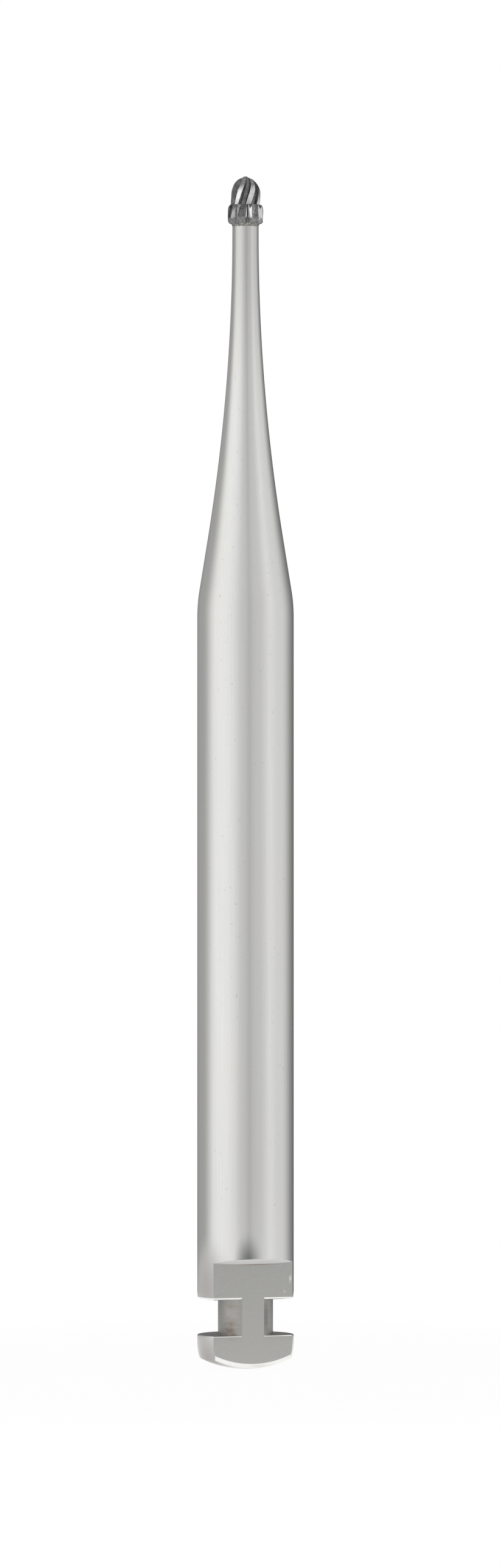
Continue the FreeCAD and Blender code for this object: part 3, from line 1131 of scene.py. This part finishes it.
class HeadRule(Graph):
    """Geometry nodes that grind the head: a gashed crown of teeth under a dome of helical blades.

    The overruns are how far the cutters go past the crown's ends, and how deep the dome's foot sits in it.
    """

    GASH_OVERRUN = 0.1
    PANEL_OVERRUN = 0.05
    DOME_OVERRUN = 0.1
    PANEL_REACH_RATIO = 1.3
    CROWN_FILLET_STEPS = 8
    CROWN_COLUMNS = 168
    PANEL_STEPS = 12
    DOME_WALL_STEPS = 4
    DOME_STEPS = 18
    NUB_SEGMENTS = 32
    NUB_RINGS = 24
    CORNERS = 4
    HALF_STEP = 0.5

    def __init__(self, sizes: HeadSizes) -> None:
        """Names the tree's inputs after the sizes and the faces' materials."""
        tree = bpy.data.node_groups.new("cutting_head_rule", "GeometryNodeTree")
        super().__init__(tree)
        for name, value in vars(sizes).items():
            kind = "NodeSocketInt" if isinstance(value, int) else "NodeSocketFloat"
            tree.interface.new_socket(name, in_out="INPUT", socket_type=kind)
        for face in CarbideFace:
            tree.interface.new_socket(face.value, in_out="INPUT", socket_type="NodeSocketMaterial")
        tree.interface.new_socket("geometry", in_out="OUTPUT", socket_type="NodeSocketGeometry")
        self.inputs = self.node("NodeGroupInput").outputs
        self.given = SimpleNamespace(**{name: Number(self, self.inputs[name]) for name in vars(sizes)})
        self.index = Number(self, self.output("GeometryNodeInputIndex"))
        self.pitch = 360.0 / self.given.tooth_count

    def step(self, value: Value, first: float, count: float) -> Number:
        """How far a value has gone from first, as a share of count, from 0 to 1."""
        inputs = {"Value": value, "From Min": first, "From Max": first + count}
        return Number(self, self.output("ShaderNodeMapRange", inputs))

    def choice(self, index: Value, values: Sequence[Value]) -> Number:
        """One of several values, picked by an index."""
        made = self.node("GeometryNodeIndexSwitch", data_type="FLOAT")
        for _ in values[2:]:
            made.index_switch_items.new()
        for number, value in enumerate([index, *values]):
            self.feed(made.inputs[number], value)
        return Number(self, made.outputs[0])

    def column_of(self, rows: int) -> Number:
        """The column that a grid's point or face is in, where each column has so many."""
        return self.math("FLOOR", (self.index + self.HALF_STEP) / rows)

    def painted(self, shape: Socket, face: CarbideFace, where: Value = True) -> Socket:
        """Gives faces their material."""
        inputs = {"Geometry": shape, "Selection": where, "Material": self.inputs[face.value]}
        return self.output("GeometryNodeSetMaterial", inputs)

    def sheath(
        self, columns: Value, rows: int, place: Placer, hub: tuple[Value, Value] = (0.0, 0.0)
    ) -> Socket:
        """A closed surface from a grid of points, with its first and last rows drawn to one point each.

        Args:
            columns: Number of columns round it.
            rows: Number of rows, the end rows included.
            place: Gives the radius, azimuth and height of the point in a column and row.
            hub: Radius and azimuth that the end rows are drawn to.

        Returns:
            The surface, with its seam not yet merged.
        """
        column = self.column_of(rows)
        row = self.index - column * rows
        radius, azimuth, height = place(column, row)
        from_middle = self.math("ABSOLUTE", row - (rows - 1) / 2)
        ends = self.math("GREATER_THAN", from_middle, (rows - 1) / 2 - self.HALF_STEP)
        radius = between(radius, hub[0], ends)
        angle = self.math("RADIANS", between(azimuth, hub[1], ends))
        across, along = radius * self.math("SINE", angle), -(radius * self.math("COSINE", angle))
        grid = self.output("GeometryNodeMeshGrid", {"Vertices X": columns + 1, "Vertices Y": rows})
        inputs = {"Geometry": grid, "Position": self.joined(X=across, Y=along, Z=height)}
        return self.output("GeometryNodeSetPosition", inputs)

    def welded(self, shape: Socket) -> Socket:
        """Merges a surface's seam and end rows, and splits its faces, some of them twisted, in triangles."""
        merged = self.output("GeometryNodeMergeByDistance", {"Geometry": shape, "Distance": WELD})
        return self.output("GeometryNodeTriangulate", {"Mesh": merged})

    def edge_azimuth(self, height: Number) -> Number:
        """Azimuth of the first blade's cutting edge at a height."""
        given = self.given
        return (height - given.crown_height) * given.helix_twist + given.first_edge_azimuth

    def round_the_axis(self, shape: Socket, first: Value) -> Socket:
        """One copy of a cut for each tooth, the first turned to an azimuth."""
        turn = self.joined(Z=self.math("RADIANS", self.index * self.pitch + first))
        points = self.output("GeometryNodePoints", {"Count": self.given.tooth_count})
        inputs = {"Points": points, "Instance": shape, "Rotation": turn}
        cuts = self.output("GeometryNodeInstanceOnPoints", inputs)
        return self.output("GeometryNodeRealizeInstances", {"Geometry": cuts})

    def blank(self) -> Socket:
        """The crown before it is cut: a rounded foot, a full belly and a rounded top."""
        steps, columns, given = self.CROWN_FILLET_STEPS, self.CROWN_COLUMNS, self.given

        def place(column: Number, row: Number) -> tuple[Value, Value, Value]:
            """Follows the foot's quarter-round, the belly and the top's quarter-round."""
            foot = self.step(row, 1, steps) * (math.pi / 2)
            top = self.step(row, steps + 2, steps) * (math.pi / 2)
            radius = between(given.base_radius, given.crown_radius, self.math("SINE", foot))
            cut_in = (given.crown_radius - given.crown_top_radius) * (1.0 - self.math("COSINE", top))
            height = between(given.crown_foot_height, 0.0, self.math("COSINE", foot))
            height += (given.crown_belly_height - given.crown_foot_height) * self.step(row, steps + 1, 1)
            height += (given.crown_height - given.crown_belly_height) * self.math("SINE", top)
            return radius - cut_in, column * (360 / columns), height

        return self.welded(self.painted(self.sheath(columns, 2 * steps + 4, place), CarbideFace.SKIN))

    def gash(self) -> Socket:
        """The wedge that cuts one gash with a narrow flat root straight down the crown, at azimuth 0."""
        rows, given = 4, self.given
        root, half_root = given.gash_root_radius, given.gash_root_half_width
        far = root + given.gash_depth
        slope = self.math("TANGENT", self.math("RADIANS", given.gash_half_angle))
        reaches, sides = [], []
        for along, across in ((root, half_root), (far, given.gash_depth * slope + half_root)):
            reaches.append(self.math("SQRT", along * along + across * across))
            sides.append(self.math("DEGREES", self.math("ARCTAN2", across, along)))

        def place(column: Number, row: Number) -> tuple[Value, Value, Value]:
            """Puts two corners on the root and two outside the crown."""
            corner = column % self.CORNERS
            radius = self.choice(corner, [reaches[0], reaches[1], reaches[1], reaches[0]])
            azimuth = self.choice(corner, [-sides[0], -sides[1], sides[1], sides[0]])
            top = given.crown_height + self.GASH_OVERRUN
            return radius, azimuth, between(-self.GASH_OVERRUN, top, self.step(row, 1, 1))

        hub = (between(root, far, 0.5), 0.0)
        wedge = self.painted(self.sheath(self.CORNERS, rows, place, hub), CarbideFace.BLADE)
        # The root strip is painted with shade, nearly black.
        on_root = self.math("GREATER_THAN", self.column_of(rows - 1), self.CORNERS - 1 - self.HALF_STEP)
        return self.welded(self.painted(wedge, CarbideFace.CREVICE_SHADE, on_root))

    def panel(self) -> Socket:
        """The cutter of one flute's run-out, a slanting flat that gets narrower and shallower downwards."""
        steps, given = self.PANEL_STEPS, self.given
        rows = steps + 3
        outside = given.crown_radius * self.PANEL_REACH_RATIO
        row = self.index - self.column_of(rows) * rows
        top = given.crown_height + self.PANEL_OVERRUN
        height = between(-self.PANEL_OVERRUN, top, self.step(row, 1, steps))
        share = height / given.crown_height
        flat = between(given.panel_foot_radius, given.panel_top_radius, share)
        lead = between(given.panel_foot_lead_angle, given.panel_top_lead_angle, share)
        start = self.edge_azimuth(height) + lead
        end = start + between(given.panel_foot_angle, given.panel_top_angle, share)

        def place(column: Number, _: Number) -> tuple[Value, Value, Value]:
            """Puts two corners outside the crown and two on the slanting flat."""
            corner = column % self.CORNERS
            azimuth = self.choice(corner, [start, end, end, start])
            return self.choice(corner, [outside, outside, flat, flat]), azimuth, height

        hub = (between(given.crown_radius, outside, 0.5), between(start, end, 0.5))
        return self.welded(self.painted(self.sheath(self.CORNERS, rows, place, hub), CarbideFace.FLUTE))

    def dome(self) -> Socket:
        """The dome with its blades: each has a land, a rake face, a gullet and a heel face."""
        straight, curved, given = self.DOME_WALL_STEPS, self.DOME_STEPS, self.given
        rows = straight + curved + 3
        cap_angle = self.math("ARCCOSINE", given.tip_cap_radius / given.dome_radius)
        semi_height = (given.tip_cap_height - given.dome_straight_height) / self.math("SINE", cap_angle)

        def place(column: Number, row: Number) -> tuple[Value, Value, Value]:
            """Follows one blade's outline across, and the dome's outline up."""
            turn = cap_angle * self.step(row, straight + 1, curved)
            height = between(given.crown_height, given.dome_straight_height, self.step(row, 1, straight))
            height += semi_height * self.math("SINE", turn)
            sunk = self.math("LESS_THAN", row, self.HALF_STEP) * self.DOME_OVERRUN
            tooth = self.math("FLOOR", (column + self.HALF_STEP) / self.CORNERS)
            corner = column % self.CORNERS
            heel = -given.land_angle
            gullet_end = self.pitch + (heel - given.heel_face_angle)
            offset = self.choice(corner, [heel, 0.0, given.rake_face_angle, gullet_end])
            ratio = self.choice(corner, [given.land_heel_ratio, 1.0, given.gullet_ratio, given.gullet_ratio])
            azimuth = tooth * self.pitch + (self.edge_azimuth(height) + offset)
            return given.dome_radius * self.math("COSINE", turn) * ratio, azimuth, height - sunk

        blades = self.sheath(given.tooth_count * self.CORNERS, rows, place)
        strip = self.column_of(rows - 1) % self.CORNERS
        land = self.math("LESS_THAN", strip, self.HALF_STEP)
        # The heel faces are painted with shade, nearly black.
        heel_face = self.math("GREATER_THAN", strip, self.CORNERS - 1 - self.HALF_STEP)
        blades = self.painted(blades, CarbideFace.FLUTE)
        blades = self.painted(blades, CarbideFace.BLADE, land)
        return self.welded(self.painted(blades, CarbideFace.CREVICE_SHADE, heel_face))

    def nub(self) -> Socket:
        """The small pip in the middle of the tip."""
        given = self.given
        rise = given.tip_height - given.tip_cap_height
        radius = (rise * rise + given.tip_nub_radius * given.tip_nub_radius) / (rise * 2.0)
        sizes = {"Segments": self.NUB_SEGMENTS, "Rings": self.NUB_RINGS, "Radius": radius}
        ball = self.output("GeometryNodeMeshUVSphere", sizes)
        inputs = {"Geometry": ball, "Translation": self.joined(Z=given.tip_height - radius)}
        return self.painted(self.output("GeometryNodeTransform", inputs), CarbideFace.FLUTE)

    def combined(self, operation: str, shapes: Sequence[Socket]) -> Socket:
        """Joins solids, or takes the others away from the first."""
        made = self.node("GeometryNodeMeshBoolean", operation=operation, solver="EXACT")
        self.feed(made.inputs["Mesh 2" if operation == "UNION" else "Mesh 1"], shapes[0])
        for shape in shapes[1:]:
            self.feed(made.inputs["Mesh 2"], shape)
        return made.outputs["Mesh"]

    def finished(self) -> bpy.types.NodeTree:
        """Cuts the crown, joins the dome and the pip, and ends the tree.

        Returns:
            The tree, whose result is in metres.
        """
        given = self.given
        lag = given.first_edge_azimuth - given.gash_lag_angle
        cuts = [self.round_the_axis(self.gash(), lag), self.round_the_axis(self.panel(), 0.0)]
        crown = self.combined("DIFFERENCE", [self.blank(), *cuts])
        head = self.combined("UNION", [crown, self.dome(), self.nub()])
        inputs = {"Geometry": head, "Translation": self.joined(Z=given.base_height * MM), "Scale": (MM,) * 3}
        moved = self.output("GeometryNodeTransform", inputs)
        whole = self.output("GeometryNodeRealizeInstances", {"Geometry": moved})
        height = self.part(self.output("GeometryNodeInputPosition"), "Z")
        cap_height = given.base_height + (given.tip_cap_height - WELD)
        on_tip = self.math("GREATER_THAN", height, cap_height * MM)
        self.node("NodeGroupOutput", {0: self.painted(whole, CarbideFace.FLUTE, on_tip)})
        return self.tree


@dataclass(frozen=True)
class CuttingHead:
    """The carbide head, made by the rule from its sizes."""

    sizes: HeadSizes

    def materials(self) -> dict[CarbideFace, bpy.types.Material]:
        """The head's materials by face."""
        finishes = [
            CarbideFinish(CarbideFace.BLADE, 0.78, 0.94, 0.16, 0.0, 0.0002),
            CarbideFinish(CarbideFace.FLUTE, 0.09, 0.27, 0.4, 0.3, 0.0015),
            CarbideFinish(CarbideFace.SKIN, 0.17, 0.4, 0.36, 0.2, 0.001),
            # Painted shade, nearly black, for the gash roots and the heel faces.
            CarbideFinish(CarbideFace.CREVICE_SHADE, 0.04, 0.12, 0.5, 0.1, 0.0015),
        ]
        return {finish.face: finish.material() for finish in finishes}

    def build(self) -> bpy.types.Object:
        """Runs the rule, keeps its result as a plain mesh and dresses it."""
        tree = HeadRule(self.sizes).finished()
        values = vars(self.sizes) | {face.value: made for face, made in self.materials().items()}
        maker = in_scene("head_maker", bpy.data.meshes.new("head_maker"))
        modifier = maker.modifiers.new("cutting_head_rule", "NODES")
        modifier.node_group = tree
        for item in tree.interface.items_tree:
            if item.in_out == "INPUT":
                modifier[item.identifier] = values[item.name]
        graph = bpy.context.evaluated_depsgraph_get()
        mesh = bpy.data.meshes.new_from_object(maker.evaluated_get(graph))
        maker.modifiers.remove(modifier)
        bpy.data.objects.remove(maker)
        mesh.name = "carbide_head"
        piece = placed("carbide_head", mesh)
        dressed(piece, "cutting_head")
        return piece


@dataclass(frozen=True)
class BrazeJoint:
    """The thin layer of braze between the neck's chamfer and the head's base, with a slightly hollow side."""

    shank: Shank
    head: HeadSizes
    hollow: float = 0.008
    columns: int = 96
    side_steps: int = 6

    def build(self) -> bpy.types.Object:
        """Turns the layer's outline about the axis and dresses it."""
        neck_radius, neck_top = self.shank.neck_end_radius, self.shank.neck_top
        chamfer = self.shank.neck_end_chamfer
        head_radius, head_base = self.head.base_radius, self.head.base_height
        outline = [(0.0, neck_top), (neck_radius - chamfer, neck_top)]
        for share in shares(self.side_steps):
            dip = 4 * self.hollow * share * (1 - share)
            height = between(neck_top - chamfer, head_base, share)
            outline.append((between(neck_radius, head_radius, share) - dip, height))
        outline.append((0.0, head_base))
        skin = Skin()
        rows = []
        for radius, height in outline:
            rows.append([(*on_circle(radius, 360 * share), height) for share in shares(self.columns)])
        skin.add(rows, None)
        piece = skin.finished("braze_layer", [BrazeFinish().material()])
        dressed(piece, "braze_joint")
        return piece


@dataclass(frozen=True)
class SoftLight:
    """A soft light on the wall of the tent.

    Attributes:
        aside: Its angle to the right of the camera, seen from the burr.
        half_width: Half the angle over which it is fully bright.
        soft_edge: The angle over which it fades out at each side.
        tone: What it adds to the wall's tone.
    """

    aside: float
    half_width: float
    soft_edge: float
    tone: float


@dataclass(frozen=True)
class Studio:
    """A pale floor, a soft light tent, a white background and the camera.

    Attributes:
        view_azimuth: Azimuth of the camera round the burr, in degrees.
        camera_distance: Millimetres from the burr's axis.
        camera_height: Millimetres above the floor.
        camera_shift: How far the camera stands to its own right of the axis, in millimetres.
        framed_height: Millimetres at the burr that the picture's long side covers.
        floor_radius: Millimetres from the burr to the floor's edge, where it has faded out.
        tent_radius: Millimetres from the burr to the tent.
        cloth_tone: Tone of the tent where no light stands behind it.
        roof_tone: Tone of the tent's roof.
        ground_tone: Tone of the tent below the floor's edge.
        roof_from: Rise of the directions, from -1 to 1, at which the roof begins.
        roof_full: Rise at which the wall has ended.
        ground_from: Rise at which the ground begins.
        ground_full: Rise below which there is only ground.
        floor_tone: Tone of the floor's paint.
        floor_glow: How much of the floor looks plain white to the camera and in reflections.
        lights: The lights behind the tent's cloth, and two shades, whose tone is below zero.
        sensor: Width of the camera's sensor in millimetres.
        clip_end: Metres to the farthest thing that the camera shows.
        floor_corners: Corners of the round floor.
        tent_segments: Segments round the tent.
        tent_rings: Rings up the tent.
    """

    view_azimuth: float = -17.5
    camera_distance: float = 190.0
    camera_height: float = 14.22
    camera_shift: float = 0.11
    framed_height: float = 38.14
    floor_radius: float = 20.0
    tent_radius: float = 400.0
    cloth_tone: float = 0.26
    roof_tone: float = 0.85
    ground_tone: float = 0.8
    roof_from: float = 0.45
    roof_full: float = 0.8
    ground_from: float = -0.3
    ground_full: float = -0.6
    floor_tone: float = 0.92
    floor_glow: float = 0.95
    lights: tuple[SoftLight, ...] = (
        SoftLight(aside=-126.0, half_width=14.0, soft_edge=26.0, tone=0.15),
        SoftLight(aside=-62.0, half_width=15.0, soft_edge=38.0, tone=0.78),
        SoftLight(aside=18.0, half_width=37.0, soft_edge=24.0, tone=0.41),
        SoftLight(aside=88.0, half_width=9.0, soft_edge=44.0, tone=0.54),
        SoftLight(aside=9.5, half_width=1.5, soft_edge=4.0, tone=-0.3),
        SoftLight(aside=170.0, half_width=16.0, soft_edge=16.0, tone=-0.12),
    )
    sensor: float = 36.0
    clip_end: float = 10.0
    floor_corners: int = 64
    tent_segments: int = 64
    tent_rings: int = 32

    def camera(self) -> None:
        """Puts the camera level, at the photograph's azimuth and distance."""
        data = bpy.data.cameras.new("camera")
        data.sensor_width = self.sensor
        data.lens = self.sensor * self.camera_distance / self.framed_height
        data.clip_start, data.clip_end = MM, self.clip_end
        angle = math.radians(self.view_azimuth)
        back = Vector((math.sin(angle), -math.cos(angle), 0.0))
        right = Vector((math.cos(angle), math.sin(angle), 0.0))
        made = in_scene("camera", data)
        made.location = (back * self.camera_distance + right * self.camera_shift) * MM
        made.location.z = self.camera_height * MM
        made.rotation_euler = (math.pi / 2, 0.0, angle)
        bpy.context.scene.camera = made

    def standing(self, name: str, mesh: bpy.types.Mesh, material: bpy.types.Material) -> bpy.types.Object:
        """Puts a piece of the studio in the scene, apart from the burr."""
        mesh.materials.append(material)
        made = in_scene(name, mesh)
        return made

    def floor(self) -> None:
        """Lays a pale floor that shows the burr's shadow and fades out towards its edge."""
        pattern = Pattern("pale_floor")
        path = pattern.node("ShaderNodeLightPath").outputs
        seen = pattern.math("MAXIMUM", path["Is Camera Ray"], path["Is Glossy Ray"])
        seen = pattern.math("MAXIMUM", seen, path["Is Transmission Ray"])
        paint = pattern.output("ShaderNodeBsdfDiffuse", {"Color": grey(self.floor_tone)})
        glow = pattern.output("ShaderNodeEmission", {"Color": grey(1.0)})
        lit = pattern.output("ShaderNodeMixShader", {0: seen * self.floor_glow, 1: paint, 2: glow})
        clear = pattern.output("ShaderNodeBsdfTransparent")
        fade = pattern.ramp(pattern.vector("LENGTH", pattern.place), self.floor_radius / 2, self.floor_radius)
        ends = pattern.output("ShaderNodeMixShader", {0: fade, 1: lit, 2: clear})
        pattern.node("ShaderNodeOutputMaterial", {"Surface": ends})
        mesh = bpy.data.meshes.new("floor")
        rim = [on_circle(self.floor_radius * MM, 360 * share) for share in shares(self.floor_corners)[:-1]]
        mesh.from_pydata([(*spot, 0.0) for spot in rim], [], [tuple(range(len(rim)))])
        self.standing("floor", mesh, pattern.material)

    def tent(self) -> None:
        """Hangs a tent of soft light round the burr, which the camera doesn't see."""
        pattern = Pattern("light_tent")
        direction = pattern.vector("NORMALIZE", pattern.place)
        azimuth = pattern.math("ARCTAN2", pattern.part(direction, "X"), -pattern.part(direction, "Y"))
        aside = pattern.math("DEGREES", azimuth) - self.view_azimuth
        turned = pattern.math("FLOORED_MODULO", aside + 180.0, 360.0)
        walls: Value = self.cloth_tone
        for light in self.lights:
            away = pattern.math("ABSOLUTE", turned - (light.aside + 180.0))
            walls += pattern.ramp(away, light.half_width + light.soft_edge, light.half_width, 0.0, light.tone)
        rise = pattern.part(direction, "Z")
        roof = pattern.ramp(rise, self.roof_from, self.roof_full)
        tone = pattern.mix(roof, walls, grey(self.roof_tone))
        above_ground = pattern.ramp(rise, self.ground_full, self.ground_from)
        tone = pattern.mix(above_ground, grey(self.ground_tone), tone)
        light = pattern.output("ShaderNodeEmission", {"Color": tone})
        pattern.node("ShaderNodeOutputMaterial", {"Surface": light})
        pattern.material.cycles.emission_sampling = "NONE"
        sphere = bmesh.new()
        bmesh.ops.create_uvsphere(
            sphere, u_segments=self.tent_segments, v_segments=self.tent_rings, radius=self.tent_radius * MM
        )
        mesh = bpy.data.meshes.new("light_tent")
        sphere.to_mesh(mesh)
        sphere.free()
        self.standing("light_tent", mesh, pattern.material).visible_camera = False

    def background(self) -> None:
        """Makes everything beyond the tent white."""
        world = bpy.data.worlds.new("white_background")
        bpy.context.scene.world = world
        world.use_nodes = True
        graph = Graph(world.node_tree)
        white = graph.output("ShaderNodeBackground", {"Color": grey(1.0)})
        graph.node("ShaderNodeOutputWorld", {"Surface": white})

    def build(self) -> None:
        """Builds the floor, the light, the background and the camera."""
        self.floor()
        self.tent()
        self.background()
        self.camera()
        bpy.context.scene.view_settings.view_transform = "Standard"


def main() -> None:
    """Builds each piece over its CAD node, with sizes read from the CAD boxes, then the studio."""
    logging.basicConfig(level=logging.INFO, format="%(message)s")
    radius, _, neck_top = (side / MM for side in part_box("shank")[1])
    head_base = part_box("cutting_head")[0][2] / MM
    shank, head_sizes = Shank(radius, neck_top), HeadSizes(head_base)
    shank.build()
    BrazeJoint(shank, head_sizes).build()
    CuttingHead(head_sizes).build()
    Studio().build()


if __name__ == "__main__":
    main()
